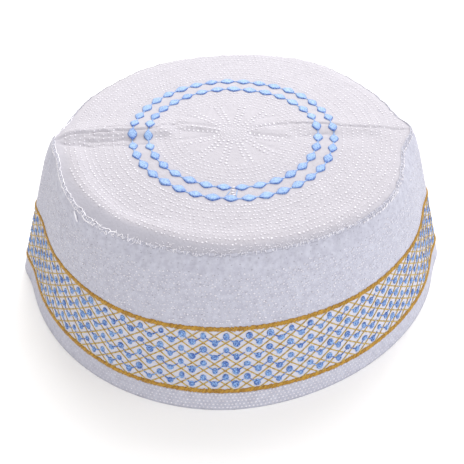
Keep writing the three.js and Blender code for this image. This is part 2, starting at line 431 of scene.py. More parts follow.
def weld(piece):
    startFresh()
    bpy.context.view_layer.objects.active = piece
    piece.select_set(True)
    bpy.ops.object.mode_set(mode="EDIT")
    bpy.ops.mesh.select_all(action="SELECT")
    bpy.ops.mesh.remove_doubles(threshold=0.00001)
    bpy.ops.mesh.normals_make_consistent(inside=False)
    bpy.ops.object.mode_set(mode="OBJECT")
    piece.select_set(False)


# The active object becomes a pattern piece: its points and triangles, then it is removed
def takeMaster():
    piece = bpy.context.object
    if piece.mode != "EDIT":
        bpy.ops.object.mode_set(mode="EDIT")
    bpy.ops.mesh.select_all(action="SELECT")
    bpy.ops.mesh.quads_convert_to_tris()
    bpy.ops.mesh.normals_make_consistent(inside=False)
    bpy.ops.object.mode_set(mode="OBJECT")
    bpy.ops.object.transform_apply(location=True, rotation=True, scale=True)
    points = np.array([v.co for v in piece.data.vertices]) / mm
    faces = np.array([p.vertices[:] for p in piece.data.polygons])
    mesh = piece.data
    bpy.data.objects.remove(piece)
    bpy.data.meshes.remove(mesh)
    return points, faces


# Materials
def linear(code):
    channels = [int(code[i:i + 2], 16) / 255 for i in (1, 3, 5)]
    return [c / 12.92 if c <= 0.04045 else ((c + 0.055) / 1.055) ** 2.4 for c in channels] + [1.0]


# An input is a value or another node's output
def setInputs(tree, node, inputs):
    for key, value in inputs.items():
        if isinstance(value, bpy.types.NodeSocket):
            tree.links.new(value, node.inputs[key])
        else:
            node.inputs[key].default_value = value


# Adds a node and gives its outputs; a ramp is set by pairs of place and colour
def addNode(tree, kind, settings, inputs):
    node = tree.nodes.new("ShaderNode" + kind)
    for key, value in settings.items():
        if key == "ramp":
            for stop, (place, colour) in zip(node.color_ramp.elements, value):
                stop.position = place
                stop.color = linear(colour)
        else:
            setattr(node, key, value)
    setInputs(tree, node, inputs)
    return node.outputs


def startMaterial(name, roughness, sheen=0.0):
    material = bpy.data.materials.new(name)
    material.use_nodes = True
    tree = material.node_tree
    shader = tree.nodes["Principled BSDF"]
    setInputs(tree, shader, {"Roughness": roughness, "Sheen Weight": sheen})
    return material, tree, shader, addNode(tree, "TexCoord", {}, {})["Object"]


# Two shades in patches; the size is in millimetres
def mottle(tree, where, size, shades, blend):
    noise = addNode(tree, "TexNoise", {}, {"Vector": where, "Scale": 1 / (size * mm), "Detail": 3.0})
    return addNode(tree, "ValToRGB", {"ramp": zip(blend, shades)}, {"Fac": noise["Fac"]})["Color"]


# Fibres that stand up from the surface; size and depth are in millimetres
def fuzz(tree, where, size, depth, detail, under=None):
    noise = addNode(tree, "TexNoise", {}, {"Vector": where, "Scale": 1 / (size * mm), "Detail": detail})
    inputs = {"Height": noise["Fac"], "Distance": depth * mm}
    if under is not None:
        inputs["Normal"] = under
    return addNode(tree, "Bump", {}, inputs)["Normal"]


# Quilted cotton: plain woven, two layers sewn together with padding thread between,
# so it is matt, very slightly lilac, and finely pebbled. The shade attribute says how far
# the painted tone is mixed in: painted shade on the crown's margin, painted light on the wall's band.
def quiltedCotton(name, low, high, paintedShading, pebbleDepth):
    material, tree, shader, where = startMaterial(name, 0.9, 0.08)
    paintedShadingShare = addNode(tree, "Attribute", {"attribute_name": "shade"}, {})["Fac"]
    cloth = mottle(tree, where, 2.2, (low, high), (0.3, 0.7))
    mixed = addNode(tree, "Mix", {"data_type": "RGBA"}, {0: paintedShadingShare, 6: cloth, 7: linear(paintedShading)})
    pebble = addNode(tree, "TexVoronoi", {"feature": "SMOOTH_F1"},
                     {"Vector": where, "Scale": 1 / (1.4 * mm), "Smoothness": 0.5})
    soft = addNode(tree, "Bump", {}, {"Height": pebble["Distance"], "Distance": -pebbleDepth * mm})
    fine = fuzz(tree, where, 0.5, 0.16, 2.0, soft["Normal"])
    setInputs(tree, shader, {"Base Color": mixed[2], "Normal": fine})
    return material


# Rayon embroidery thread: glossy on the stitches and deep between them. The shade attribute
# is painted light and shade: it says how far a thread lies up in the light.
def satinThread(name, dark, light, grain=0.6, speckles=1.3):
    material, tree, shader, where = startMaterial(name, 0.5, 0.1)
    shade = addNode(tree, "Attribute", {"attribute_name": "shade"}, {})["Fac"]
    noise = addNode(tree, "TexNoise", {}, {"Vector": where, "Scale": 1 / (grain * mm), "Detail": 2.0})
    speckle = addNode(tree, "Math", {"operation": "MULTIPLY_ADD"},
                      {0: noise["Fac"], 1: speckles, 2: -speckles / 2})[0]
    value = addNode(tree, "Math", {"operation": "ADD", "use_clamp": True}, {0: shade, 1: speckle})[0]
    colour = addNode(tree, "ValToRGB", {"ramp": ((0, dark), (1, light))}, {"Fac": value})["Color"]
    setInputs(tree, shader, {"Base Color": colour, "Normal": fuzz(tree, where, 0.3, 0.08, 2.0)})
    return material


# Plain thread, cloth in shadow and paper
def plainFinish(name, roughness, shades, size, blend, fibres=None):
    material, tree, shader, where = startMaterial(name, roughness)
    setInputs(tree, shader, {"Base Color": mottle(tree, where, size, shades, blend)})
    if fibres:
        setInputs(tree, shader, {"Normal": fuzz(tree, where, *fibres)})
    return material


# The fourth colour is painted: painted shade on the crown's margin, painted light on the wall's
# embroidered band
crownCotton = quiltedCotton("quilted crown cotton", "#BAB7BF", "#C1BEC6", "#B0AFBA", 0.12)
# The wall's cotton is a little bluer than the crown's: painted bluish light of its front and right
wallCotton = quiltedCotton("quilted wall cotton", "#B2B2C0", "#C3C4D1", "#CDCDDA", 0.3)
# Polyester sewing thread: spun, brighter than the cotton, with a soft shine
spun = {"size": 1.5, "blend": (0.35, 0.65), "fibres": (0.25, 0.05, 3.0)}
sewing = plainFinish("white quilting thread", 0.6, ("#D0CDD5", "#E8E6ED"), **spun)
overlock = plainFinish("white overlock thread", 0.6, ("#E2E0E8", "#FBFAFF"), **spun)
# Painted shadow: the dark grey of the shade in the holes the needle made, and in the seam's crease
paintedShadowGrey = plainFinish("painted shadow grey", 0.95, ("#8D8B96", "#A5A3AE"), 1.0, (0.4, 0.6))
goldSatin = satinThread("gold satin stitch", "#875B08", "#CB9D31", 0.6, 1.6)
goldLine = satinThread("gold running thread", "#946C0C", "#D6BD66")
blueSatin = satinThread("light blue satin stitch", "#315BB6", "#A5C6EC", 0.4, 3.0)
blueKnot = satinThread("blue knotted thread", "#2D57AC", "#94BAE8", 0.55, 3.6)
# Matt studio paper
palePaper = plainFinish("pale paper", 0.9, ("#FDFDFD", "#FFFFFF"), 60, (0, 1))
print("materials made")


# Camera, where the photograph was taken from
camera = {
    "elevation": math.radians(40.02),
    "swing": math.radians(3.65),
    "roll": math.radians(-0.19),
    "distance": 499,
    "ridgePixel": (233.2, 132.3),
    "imageSize": 464,
    "lens": 89.7,
    "sensor": 36,
}


def placeCamera():
    turn = Euler((math.pi / 2 - camera["elevation"], 0, -camera["swing"])).to_matrix()
    turn = turn @ Matrix.Rotation(-camera["roll"], 3, "Z")
    pixels = camera["lens"] / camera["sensor"] * camera["imageSize"]
    offX, offY = ((pixel - camera["imageSize"] / 2) / pixels for pixel in camera["ridgePixel"])
    ray = turn @ Vector((offX, -offY, -1)).normalized()
    place = Vector((0, 0, form["ridgeHeight"])) - ray * camera["distance"]
    data = bpy.data.cameras.new("camera")
    data.lens = camera["lens"]
    data.sensor_width = camera["sensor"]
    data.clip_start = 0.01
    eye = bpy.data.objects.new("camera", data)
    bpy.context.collection.objects.link(eye)
    eye.matrix_world = Matrix.Translation(place * mm) @ turn.to_4x4()
    bpy.context.scene.camera = eye


placeCamera()


# The direction that splits the corner between crown and wall at the seam
def seamMitre(angle):
    outward = np.stack([alongSeam(seamX, angle), alongSeam(seamY, angle), np.zeros_like(angle)], -1)
    return unit(unit(outward) * 0.75 + np.array([0, 0, 1.0]))


# Dots of quilting on the crown, in millimetres
crownQuilting = {
    "rosette": [(1.0, 5), (2.3, 11), (3.8, 18), (5.4, 24)],  # radius and number
    "rays": 12,
    "rayStart": 6.8,
    "rayEnd": 21.8,
    "rayStep": 2.0,
    "rayHalf": 0.85,  # a ray is a pair of rows, this far from its middle
    "raySpread": 0.03,
    "rayShift": 0.4,
    "panelPitch": 1.35,
    "panelDot": 1.3,
    "panelGap": 2.6,
    "rayClear": 1.5,
    "denseRows": [22.8, 24.9, 27.0, 29.1, 31.2, 33.2],
    "denseDot": 1.8,
    "outerStart": 47.4,
    "rowPitch": 2.05,
    "dotPitch": 1.85,
    "blockWidth": 14,  # the rows in one block have as many dots each, so that they line up
    # bare cloth between the last dots and the seam, by degrees round the cap
    "degrees": [0, 40, 90, 150, 180, 205, 222, 245, 268, 290, 320, 360],
    "margin": [1.4, 2.2, 2.6, 3.0, 3.8, 4.7, 6.2, 4.8, 3.0, 2.4, 1.5, 1.4],
    "sizes": {"rosette": 0.75, "dense": 0.88, "ray": 1.22, "panel": 0.26, "outer": (0.88, 0.7)},
    "uneven": 0.2,
    "sink": 0.05,
    # the cloth is looser towards the front: stray, turn and size of the dots, and what is added there
    "looseBeyond": 45,
    "loose": [(0.1, 0.25), (0.15, 0.6), (0.8, 0.13)],
}

# Crown: one round piece of cloth, as a shell with a rounded edge
crown = {
    "columns": 520,
    "rings": 92,
    "innerRings": 22,
    "thickness": 1.6,
    "crowding": 0.2,
    "radius": 80,  # about, to turn the margin into a share
    # how much painted shade darkens the margin, where the edge turns down away from the light, by degrees
    # round the cap
    "paintedShadingShare": ([0, 160, 185, 205, 222, 250, 290, 325, 360], [0, 0, 0.35, 0.8, 1, 0.9, 0.7, 0.1, 0]),
}


def crownLayer(rings):
    angle = np.arange(crown["columns"]) / crown["columns"] * fullTurn
    angle = angle - crown["crowding"] * np.sin(2 * angle)  # columns crowd together at the fold
    reach = (np.linspace(0, 1, rings + 1)[1:]) ** 0.92
    radius = alongSeam(seamRadius, angle)
    x, y = onCircle(reach[:, None] * radius, angle)
    points, _, _, up = crownFrames(x, y, np.zeros_like(x))
    share = smoothStep((reach - 0.95) / 0.05)[:, None, None]
    return points, unit(up * (1 - share) + seamMitre(angle)[None] * share)


def makeCrown():
    outer, _ = crownLayer(crown["rings"])
    inner, up = crownLayer(crown["innerRings"])
    inner = inner - up * crown["thickness"]
    middle = crownFrames(np.zeros(1), np.zeros(1), np.zeros(1))[0]
    top = np.repeat(middle[None], crown["columns"], axis=1)
    under = top - np.array([0, 0, crown["thickness"]])
    # the middle's rings have no size and are welded, so that the shell is closed
    rows = np.concatenate([top, outer, inner[::-1], under])
    angle = np.arctan2(rows[..., 1], rows[..., 0])
    reach = np.hypot(rows[..., 0], rows[..., 1]) / alongSeam(seamRadius, angle)
    degrees = np.degrees(angle) % 360
    gap = np.interp(degrees, crownQuilting["degrees"], crownQuilting["margin"]) / crown["radius"]
    # painted shade: the margin past the last dots is darkened, most at the front left, where the edge
    # turns down away from the light
    paintedShading = smoothStep((reach - 1 + gap) / 0.05 + 0.6) * np.interp(degrees, *crown["paintedShadingShare"])
    faces = closedQuads(len(rows), crown["columns"])[:, ::-1]
    piece = buildPiece("quilted_crown", rows, faces, crownCotton, paintedShading)
    weld(piece)
    return piece


crownCloth = makeCrown()
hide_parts("crown")
print("crown made")


# Wall: one flared loop of cloth, with a flat hem
def makeWall():
    angle = np.arctan2(wallGrid[-1, :, 1], wallGrid[-1, :, 0])
    outer = wallGrid.copy()
    outer[-1] -= (outer[-1] - outer[-2]) * wall["seamGap"]
    picked = np.unique(np.round(np.linspace(0, 1, wall["innerRows"]) * (wall["rows"] - 1)).astype(int))
    share = smoothStep((picked / (wall["rows"] - 1) - 0.94) / 0.06)[:, None, None]
    up = unit(wallNormal[picked] * (1 - share) + seamMitre(angle)[None] * share)
    inner = outer[picked] - up * wall["thickness"]
    inner[0, :, 2] = 0
    outer[0, :, 2] = 0
    height = np.linspace(0, 1, wall["rows"])[:, None] * wallSlant
    low, high = wall["band"]
    # painted light: the cloth in the embroidered band gets the lighter tone
    paintedBandLight = smoothStep((height - low) / 2 + 0.5) * smoothStep((high - height) / 2 + 0.5)
    paintedBandLight = np.concatenate([paintedBandLight, paintedBandLight[picked][::-1]])
    rows = np.concatenate([outer, inner[::-1]])
    return buildLoop("quilted_wall", rows, wallCotton, paintedBandLight)


wallCloth = makeWall()
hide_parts("side_wall")
print("wall made")


# Quilting stitches: small beads of white thread
stitch = {"length": 1.6, "width": 1.15, "height": 0.27}


def stitchMaster(sides):
    startFresh()
    bpy.ops.mesh.primitive_uv_sphere_add(segments=sides, ring_count=3, radius=0.5 * mm)
    bpy.ops.object.mode_set(mode="EDIT")
    bpy.ops.transform.resize(value=(stitch["length"], stitch["width"], stitch["height"]))
    return takeMaster()


bead = stitchMaster(6)
fleck = stitchMaster(4)


def jitter(amount, count):
    return dice.uniform(-amount, amount, count)


def ringOfDots(radius, count, phase):
    angle = (np.arange(count) + phase) / count * fullTurn
    x, y = onCircle(radius, angle)
    return x, y, angle + math.pi / 2


def crownDots():
    plan, sizes = crownQuilting, crownQuilting["sizes"]
    perRay = fullTurn / plan["rays"]
    parts = []
    for radius, count in plan["rosette"]:
        parts.append((*ringOfDots(radius, count, 0), sizes["rosette"]))
    for row, radius in enumerate(plan["denseRows"]):
        x, y, _ = ringOfDots(radius, round(fullTurn * radius / plan["denseDot"]), 0.5 * row)
        parts.append((x, y, np.zeros_like(x), sizes["dense"]))
    steps = np.arange(plan["rayStart"], plan["rayEnd"], plan["rayStep"])
    half = plan["rayHalf"] + plan["raySpread"] * (steps - plan["rayStart"])
    for ray in range(plan["rays"]):
        for sideways in (-1, 1):
            angle = (ray + 0.5) * perRay + sideways * half / steps
            x, y = onCircle(steps + plan["rayShift"] * sideways, angle)
            parts.append((x, y, angle + math.pi / 2, sizes["ray"]))
    for row, radius in enumerate(np.arange(plan["rayStart"], plan["rayEnd"], plan["panelPitch"])):
        count = plan["rays"] * max(1, round((perRay * radius - plan["panelGap"]) / plan["panelDot"]))
        x, y, heading = ringOfDots(radius, count, 0.35 * row)
        fromRay = abs(((heading - math.pi / 2) / perRay) % 1 - 0.5)
        clear = fromRay * perRay * radius > plan["rayClear"]
        parts.append((x[clear], y[clear], heading[clear], sizes["panel"]))
    for row, radius in enumerate(np.arange(plan["outerStart"], form["crownHalfWidth"], plan["rowPitch"])):
        block = (radius - plan["outerStart"]) // plan["blockWidth"] + 0.5
        middle = plan["outerStart"] + plan["blockWidth"] * block
        x, y, heading = ringOfDots(radius, round(fullTurn * middle / plan["dotPitch"]), 0.4 * row)
        edge = alongSeam(seamRadius, heading - math.pi / 2)
        margin = np.interp(np.degrees(heading - math.pi / 2) % 360, plan["degrees"], plan["margin"])
        inside = radius < edge - margin
        parts.append((x[inside], y[inside], heading[inside], sizes["outer"][row % 2]))
    size = np.concatenate([np.full(len(part[0]), part[3]) for part in parts])
    x, y, heading = (np.concatenate([part[k] for part in parts]) for k in range(3))
    loose = smoothStep(0.5 - y / 100) * (np.hypot(x, y) > plan["looseBeyond"])
    stray, turn, swell = (even + more * loose for even, more in plan["loose"])
    x, y = x + stray * jitter(1, len(x)), y + stray * jitter(1, len(x))
    return x, y, heading + turn * jitter(1, len(x)), size * swell


def makeCrownStitches():
    x, y, heading, size = crownDots()
    size = size * (1 + jitter(crownQuilting["uneven"], len(x)))
    lift = (stitch["height"] / 2 - crownQuilting["sink"]) * size
    copiesAt("crown_stitches", bead, crownFrames(x, y, heading), size, lift, sewing)


makeCrownStitches()


# Flecks on the wall above the band, and rows of dots below it, in millimetres up from the hem
wallQuilting = {"rowPitch": 1.6, "dotPitch": 1.6, "start": 40.0, "margin": 8.0, "stray": 0.5, "sink": 0.03}
hemQuilting = {"rows": [1.2, 2.7, 4.2, 5.7, 7.2], "dotPitch": 1.6, "stray": 0.12, "sink": 0.1,
               "front": 0.76, "frontReach": 0.11}


def placeOnWall(name, master, share, height, size, sink):
    lift = (stitch["height"] / 2 - sink) * size
    copiesAt(name, master, wallFrames(share, height), size, lift, sewing)


def makeWallStitches():
    plan = wallQuilting
    count = round(wallGirth / plan["dotPitch"])
    shares, heights = [], []
    top = wallSlant.max() - plan["margin"]
    for row, height in enumerate(np.arange(plan["start"], top, plan["rowPitch"])):
        share = (np.arange(count) + 0.5 * (row % 2)) / count
        ragged = plan["margin"] + 1.2 * ringWaves(share * fullTurn, (13, 21, 34), 8) + jitter(0.8, count)
        inside = height < slantAt(share) - ragged
        shares.append(share[inside])
        heights.append(np.full(inside.sum(), height))
    share, height = np.concatenate(shares), np.concatenate(heights)
    share = share + jitter(plan["stray"], len(share)) / wallGirth
    height = height + jitter(plan["stray"], len(share))
    size = 0.3 + 0.5 * dice.random(len(share)) ** 1.6
    placeOnWall("wall_stitches", fleck, share, height, size, plan["sink"])


def makeHemStitches():
    plan = hemQuilting
    count = round(wallGirth / plan["dotPitch"])
    share = np.concatenate([(np.arange(count) + row % 2 / 2) / count for row in range(len(plan["rows"]))])
    share = share + jitter(plan["stray"], len(share)) / wallGirth
    height = np.repeat(plan["rows"], count) + jitter(plan["stray"], len(share))
    inFront = np.exp(-(((share - plan["front"]) / plan["frontReach"]) ** 2))
    size = 0.22 + 0.5 * inFront + jitter(0.06, len(share))
    placeOnWall("hem_stitches", bead, share, height, size, plan["sink"])


makeWallStitches()
makeHemStitches()
print("quilting made")


# Gold borders: satin stitch, wound with thread across its width
border = {
    "heights": {"lower_border": 8.9, "upper_border": 37.3},
    "width": 2.1,
    "rise": 0.6,
    "stitchPitch": 0.6,
    "stepsPerStitch": 3,
    "ridge": 0.15,
    "ragged": 0.27,
    "lean": 0.7,
    "sink": 0.12,
    "depth": 0.3,
}


def makeBorder(node):
    height, perStitch = border["heights"][node], border["stepsPerStitch"]
    stitches = round(wallGirth / border["stitchPitch"])
    steps = stitches * perStitch
    share = np.arange(steps) / steps
    ridge = border["ridge"] * np.cos(np.arange(steps) / perStitch * fullTurn)
    ragged = np.repeat(dice.uniform(-1, 1, (2, stitches)), perStitch, axis=1) * border["ragged"]
    tone = np.repeat(dice.uniform(0.3, 0.9, stitches), perStitch)
    loops, shades = [], []
    for bend in np.linspace(0, math.pi, 6):
        edge = ragged[0] if bend < math.pi / 2 else ragged[1]
        across = math.cos(bend) * (border["width"] / 2 + edge + 0.4 * ridge)
        lean = border["lean"] * math.cos(bend) / wallGirth
        point, _, _, up = wallFrames(share + lean, height + across)
        lift = math.sin(bend) * (border["rise"] + ridge) - border["sink"]
        loops.append(point + up * lift[:, None])
        # painted shade: the satin is darker towards its edges, and the thread wound underneath is darkest
        shades.append(tone * (0.45 + 0.55 * math.sin(bend)))
    point, _, _, up = wallFrames(share, np.full(steps, height))
    loops.append(point - up * border["depth"])
    shades.append(tone * 0)
    piece = buildLoop("satin_" + node, np.stack(loops), goldSatin, np.stack(shades))
    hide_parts(node)


for node in border["heights"]:
    makeBorder(node)
print("borders made")


# Gold lattice between the borders: thin double threads on two slants
lattice = {
    "columns": 62,
    "rows": 4.5,
    "phase": 0.24,
    "strandGap": 0.3,
    "radius": 0.21,
    "steps": 40,
    "waver": 0.16,
    "ply": 1.5,
}
bandBottom = border["heights"]["lower_border"]
cellHeight = (border["heights"]["upper_border"] - bandBottom) / lattice["rows"]


def makeLattice(name, slant):
    steps = np.linspace(0, lattice["rows"], lattice["steps"])
    paths, ups, shades = [], [], []
    for column in range(lattice["columns"]):
        waver = np.interp(steps, np.arange(6), dice.uniform(-1, 1, 6)) * lattice["waver"]
        twist = steps * cellHeight / lattice["ply"] * fullTurn + dice.uniform(0, 6)
        for strand in (-0.5, 0.5):
            aside = (strand * lattice["strandGap"] * (1 + 0.5 * np.cos(twist)) + waver) / wallGirth
            share = (column + lattice["phase"] + slant * steps) / lattice["columns"] + aside
            point, _, _, up = wallFrames(share, bandBottom + steps * cellHeight)
            paths.append(point + up * (0.12 + 0.03 * slant + 0.05 * np.sin(twist + strand * 6))[:, None])
            ups.append(up)
            # painted light and shade: the plies turn lighter and darker along the thread, which is darker
            # where the threads cross
            crossing = np.clip(np.cos(4 * math.pi * steps), 0, 1) ** 6
            shades.append(0.5 + 0.4 * np.sin(twist + strand * 6) - 0.4 * crossing)
    sweptTubes(name, paths, ups, lattice["radius"], 4, goldLine, 0.8, shades)


makeLattice("lattice_rising_right", 1)
makeLattice("lattice_rising_left", -1)
print("lattice made")


# Blue knots: a flat tangle of looped thread in each cell
knot = {
    "rows": 8,
    "ring": 0.98,
    "ringThick": 0.42,
    "flatness": 0.5,
    "wide": 1.0,
    "tall": 1.04,
    "uneven": 0.2,
    "strayAlong": 0.3,
    "strayUp": 0.25,
    "lift": 0.16,
    "shade": {"even": 0.36, "side": 0.16, "middle": 0.34, "uneven": 0.16},
    # strands over the ring: place, half sizes and turn
    "strands": [
        ((0.1, 0.25, 0.1), (0.62, 0.3, 0.34), 0.5),
        ((-0.12, -0.3, 0.16), (0.6, 0.32, 0.34), -0.4),
        ((0.3, -0.05, 0.3), (0.28, 0.5, 0.3), 0.2),
    ],
}


def knotMaster():
    startFresh()
    bpy.ops.mesh.primitive_torus_add(major_radius=knot["ring"] * mm, minor_radius=knot["ringThick"] * mm,
                                     major_segments=9, minor_segments=4)
    parts = [bpy.context.object]
    for place, size, turn in knot["strands"]:
        bpy.ops.mesh.primitive_uv_sphere_add(segments=6, ring_count=4, radius=1 * mm,
                                             location=[v * mm for v in place])
        part = bpy.context.object
        part.scale = size
        part.rotation_euler.z = turn
        parts.append(part)
    for part in parts:
        part.select_set(True)
    bpy.ops.object.join()
    points, faces = takeMaster()
    return points * np.array([1, 1, knot["flatness"]]), faces


def makeKnots():
    master = knotMaster()
    columns = lattice["columns"]
    rows = np.arange(1, knot["rows"] + 1)
    share = np.concatenate([np.arange(columns) + (row + 1) % 2 / 2 for row in rows])
    count = len(share)
    share = (share + lattice["phase"]) / columns + jitter(knot["strayAlong"], count) / wallGirth
    height = np.repeat(rows / 2 * cellHeight + bandBottom, columns) + jitter(knot["strayUp"], count)
    centre, along, side, up = wallFrames(share, height)
    spin = dice.uniform(0, fullTurn, count)[:, None]
    wide, tall = (knot[way] + jitter(knot["uneven"], count)[:, None] for way in ("wide", "tall"))
    first = along * np.cos(spin) * wide + side * np.sin(spin) * tall
    second = side * np.cos(spin) * tall - along * np.sin(spin) * wide
    # painted light: each knot is lighter towards one side of its own, and towards its raised middle
    lightWay = dice.uniform(0, fullTurn, count)[:, None]
    x, y = master[0][:, 0], master[0][:, 1]
    plan = knot["shade"]
    shade = plan["even"] + plan["side"] * (x * np.cos(lightWay) + y * np.sin(lightWay))
    shade = shade + plan["middle"] * (1 - np.hypot(x, y) / 1.4) + jitter(plan["uneven"], count)[:, None]
    frames = np.stack([first, second, up], 1)
    copiesOf("blue_knots", master, centre + up * knot["lift"], frames, blueKnot, shade)
    return share, height


knotShare, knotHeight = makeKnots()

# Arms of blue thread from each second row of knots up to the two above
arm = {"radius": 0.42, "thin": 0.4, "steps": 6, "lift": 0.16, "start": 0.16, "stop": 0.8}


def makeArms():
    columns = lattice["columns"]
    way = np.linspace(arm["start"], arm["stop"], arm["steps"])
    paths, ups = [], []
    for row in range(0, knot["rows"], 2):
        low = row * columns + np.arange(columns)
        for sideways in (-1, 1):
            # the row above lies half a cell to each side
            high = (row + 1) * columns + (np.arange(columns) + (0 if sideways > 0 else -1)) % columns
            gap = (knotShare[high] - knotShare[low] + 0.5) % 1 - 0.5
            for start, step, target in zip(low, gap, high):
                reach = way * dice.uniform(0.8, 1.0)
                height = knotHeight[start] + (knotHeight[target] - knotHeight[start]) * reach
                bulge = 0.3 * np.sin(math.pi * reach) * sideways / wallGirth
                point, _, _, up = wallFrames(knotShare[start] + step * reach + bulge, height)
                paths.append(point + up * arm["lift"])
                ups.append(up)
    thick = arm["radius"] * np.linspace(1, arm["thin"], arm["steps"])
    tone = dice.uniform(0.15, 0.55, (len(paths), 1)) * np.ones(arm["steps"])
    sweptTubes("blue_arms", paths, ups, thick, 5, blueKnot, 0.6, tone)


makeArms()
print("knots and arms made")


# Rings of padded satin diamonds on the crown
diamond = {
    "rings": {
        "outer_diamond_ring": {"radius": 43.3, "count": 37, "phase": 90.0},
        "inner_diamond_ring": {"radius": 36.5, "count": 31, "phase": 86.2},
    },
    "length": 6.3,
    "width": 3.6,
    "rise": 0.75,
    "stitches": 14,
    "sink": 0.15,
    "lift": 0.1,
    "slopeStep": 2.0,  # a diamond lies across the small folds
}


def diamondMaster():
    startFresh()
    bpy.ops.mesh.primitive_grid_add(x_subdivisions=44, y_subdivisions=11, size=2 * mm)
    master = bpy.context.object
    for vertex in master.data.vertices:
        u = max(-1, min(1, vertex.co.x / mm))
        v = max(-1, min(1, vertex.co.y / mm))
        v = math.copysign(abs(v) ** 0.6, v)  # crowds the rows at the steep sides
        half = diamond["width"] / 2 * (1 - abs(u) ** 1.55) + 0.22
        groove = 0.08 * math.cos(math.pi * diamond["stitches"] * u)
        dome = (1 - abs(v) ** 6) ** 0.5 * (1 - abs(u) ** 6) ** 0.5
        height = (diamond["rise"] * (1 - 0.25 * abs(u)) + groove) * dome - diamond["sink"]
        vertex.co = Vector((u * diamond["length"] / 2, half * v * (1 + groove), height)) * mm
    return takeMaster()


def makeDiamondRing(node, master):
    ring = diamond["rings"][node]
    count = ring["count"]
    angle = math.radians(ring["phase"]) + np.arange(count) / count * fullTurn
    x, y = onCircle(ring["radius"], angle)
    places = crownFrames(x, y, angle + math.pi / 2 + jitter(0.1, count), diamond["slopeStep"])
    size = 1 + jitter(0.06, count)
    # painted shade: each diamond is darker on its low sides and lighter on its padded top
    low = np.clip((master[0][:, 2] + diamond["sink"]) / diamond["rise"], 0, 1)
    shade = (0.05 + 0.85 * low ** 2)[None, :] + jitter(0.08, count)[:, None]
    lift = np.full(count, diamond["lift"])
    piece = copiesAt("satin_" + node, master, places, size, lift, blueSatin, shade)
    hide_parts(node)
    # the thread that runs from tip to tip
    way = np.linspace(-0.2, 0.2, 5)
    between = math.radians(ring["phase"]) + (np.arange(count)[:, None] + 0.5 + way) / count * fullTurn
    x, y = onCircle(ring["radius"] + jitter(0.25, count)[:, None] * np.cos(way * 7), between)
    point, _, _, up = crownFrames(x, y, between)
    sweptTubes(node + "_links", point + up * 0.1, up, 0.3, 5, blueSatin, 0.7,
               np.full(point.shape[:2], 0.7))


diamondShape = diamondMaster()
for node in diamond["rings"]:
    makeDiamondRing(node, diamondShape)
print("diamonds made")


# Where the embroiderer passed from ring to ring: two pale threads and a few white stitches
crossing = {
    "threads": (((-6.2, -43.0), (-3.6, -38.2)), ((-1.6, -43.2), (-0.6, -37.4))),
    # x, y and turn
    "stitches": ((-2.2, -36.4, 0.3), (-2.4, -38.2, -0.4), (-2.6, -39.8, 0.5), (-2.3, -41.2, 0.1)),
    "stitchSize": 1.15,
}


def makeCrossing():
    x, y = (np.array([np.linspace(a[k], b[k], 6) for a, b in crossing["threads"]]) for k in (0, 1))
    point, _, _, up = crownFrames(x, y, np.zeros_like(x))
    shade = np.full(x.shape, 0.85)
    sweptTubes("ring_crossing", point + up * 0.15, up, 0.2, 5, blueSatin, 0.7, shade)
    places = crownFrames(*np.array(crossing["stitches"]).T)
    size = np.full(len(crossing["stitches"]), crossing["stitchSize"])
    copiesAt("crossing_stitches", bead, places, size, 0 * size + 0.2, sewing)


makeCrossing()
print("ring crossing made")


# Seam: a rolled lip between crown and wall, bound with overcast stitches, threads that run
# along it, a dark line of painted shadow in its crease, and holes the needle made below it, shown
# as dark beads of painted shadow. Places on it are shares of the way round the cap, and a
# reach is millimetres down the wall, or in over the crown where it is negative.
seam = {
    "lipWidth": 0.7,
    "lipRise": 0.1,
    "lipSteps": 900,
    "aheadShare": 0.0008,  # a bead's direction is taken over this share
    # short stitches: from, to, pitch, reach, half their length down the wall and along, and radius
    "stitches": [
        (0.0, 1.0, 2.2, (-0.3, 0.3), (0.4, 0.8), (-0.3, 0.3), 0.12),  # overcast all round
        (0.66, 0.85, 1.5, (-1.9, 0.3), (0.1, 0.5), (-0.9, 0.9), 0.1),  # curls of overlock in front
        (0.6, 0.67, 1.5, (-1.2, 1.2), (0.2, 0.8), (-1.2, 1.2), 0.17),  # knots at the left
        (0.46, 0.62, 3.4, (0.2, 0.8), (0.2, 0.6), (-0.8, 0.8), 0.15),
        (0.905, 0.916, 0.6, (0.2, 2.0), (0.3, 0.9), (-0.7, 0.7), 0.16),  # a small bunch at the right
    ],
    # beads of thread, in a row or strewn: from, to, pitch, reach and size
    "beads": [
        (0.455, 0.62, 1.25, (0.75, 1.05), (0.6, 0.85)),
        (0.62, 0.7, 0.9, (-0.7, 0.9), (0.32, 0.6)),
        (0.69, 0.86, 0.6, (-2.3, 0.4), (0.3, 0.5)),
        (0.86, 1.02, 1.7, (1.0, 1.5), (0.8, 1.0)),
        (0.02, 0.455, 2.0, (0.9, 1.4), (0.45, 0.65)),
    ],
    # threads that run along: from, to, reach, waver and radius
    "strands": [(0.455, 0.645, -0.7, 0.25, 0.2), (0.455, 0.615, 0.9, 0.3, 0.16)],
    # painted shadow: dark threads along the crease where the crown turns in behind the wall
    "shadow_lines": [(0.85, 1.03, 0.1, 0.15, 0.08), (0.64, 0.85, 0.3, 0.5, 0.06)],
    # holes the needle made, as dark beads of painted shadow: reach, pitch and stray, then some strewn
    # lower down
    "holes": [(1.6, 3.1, 1.3), (4.6, 4.2, 1.2), (7.2, 3.0, 1.2)],
    "lowHoles": {"count": 1500, "from": 8.5, "above": 40.0},
    "holeSize": 0.38,
    "holeSink": 0.17,
}


# How far the lip lifts what lies over the seam
def overLip(reach):
    return seam["lipRise"] * np.exp(-((reach / seam["lipWidth"]) ** 2))


# Shares of the way round, about a pitch apart
def strewn(start, stop, pitch, stray):
    count = round((stop - start) * wallGirth / pitch)
    return start + (np.arange(count) + jitter(stray, count)) / count * (stop - start)


